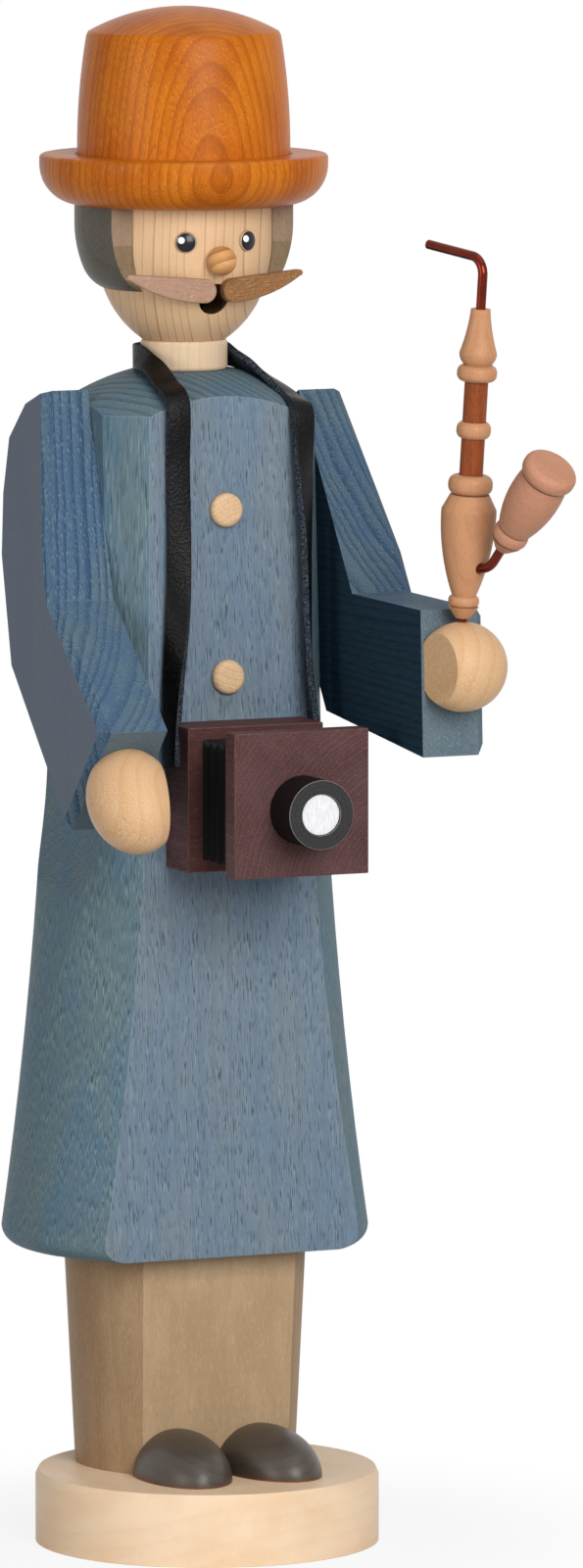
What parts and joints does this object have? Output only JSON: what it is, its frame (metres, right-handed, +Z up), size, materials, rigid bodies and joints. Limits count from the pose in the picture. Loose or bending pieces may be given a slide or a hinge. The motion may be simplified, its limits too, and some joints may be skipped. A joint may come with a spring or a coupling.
{
  "type": "wooden incense smoker figure",
  "caption": "Turned wooden incense smoker, a photographer with bowler hat, bellows camera and pipe; the coat with all above it lifts off the legs to light the incense cone.",
  "frame": {"origin": "middle of the underside of the round base", "axes": "+Z up, the figure faces -Y, its left hand with the pipe is on +X"},
  "size_m": [0.1191, 0.1974, 0.4489],
  "materials": {
    "pale_wood": "clear satin lacquer on turned pale wood",
    "oiled_wood": "brown-grey stained, satin",
    "black_stained_wood": "black stained, satin",
    "blue_stained_ash": "blue stained ash, satin",
    "blue_grey_stained_ash": "blue-grey stained ash, satin",
    "orange_stained_ash": "orange stained ash, satin",
    "pine": "clear satin lacquer on turned pine",
    "grey_stained_wood": "grey stained, cut faces paler",
    "red_wood": "reddish fruitwood, satin",
    "brown_wood": "brown wood, satin",
    "beech": "clear satin lacquer on beech",
    "dark_red_wood": "dark red-brown stained, satin",
    "bellows_card": "black leathered card, pleated",
    "black_leather": "flat black leather",
    "black_lacquer": "black lacquered wood, glossy",
    "silver_foil": "thin brushed silver disc",
    "copper_wire": "dark red-brown enamelled wire, glossy",
    "zinc_steel": "zinc-plated sheet and fasteners"
  },
  "bodies": {
    "stand": {"base_plate": "pale_wood", "base_screw": "zinc_steel", "trousers": "oiled_wood", "shoe_right": "black_stained_wood", "shoe_left": "black_stained_wood", "burner_dish": "zinc_steel", "burner_nail": "zinc_steel"},
    "figure": {"coat": "blue_stained_ash", "neck_collar": "pale_wood", "neck_tube": "pale_wood", "head": "pine", "eye_right": "black_lacquer", "eye_left": "black_lacquer", "nose": "red_wood", "moustache_right": "brown_wood", "moustache_left": "brown_wood", "hair": "grey_stained_wood", "hat": "orange_stained_ash", "button_upper": "beech", "button_lower": "beech", "arm_right": "blue_grey_stained_ash", "arm_left": "blue_grey_stained_ash", "arm_dowels": "beech", "hand_right": "beech", "hand_left": "beech", "hand_dowels": "beech", "camera_strap": "black_leather", "camera_back": "dark_red_wood", "camera_dowel": "beech", "camera_bellows": "bellows_card", "camera_front": "dark_red_wood", "lens_barrel": "black_lacquer", "lens_disc": "silver_foil", "pipe_peg": "copper_wire", "pipe_body": "red_wood", "pipe_stem": "brown_wood", "pipe_bead": "red_wood", "pipe_mouthpiece": "red_wood", "pipe_mouth_wire": "copper_wire", "pipe_bowl": "red_wood", "bowl_wire": "copper_wire"}
  },
  "joints": [
    {"name": "coat_lift", "type": "slide", "parent": "stand", "child": "figure", "axis": [0, 0, 1], "range_m": [0, 0.06]}
  ]
}
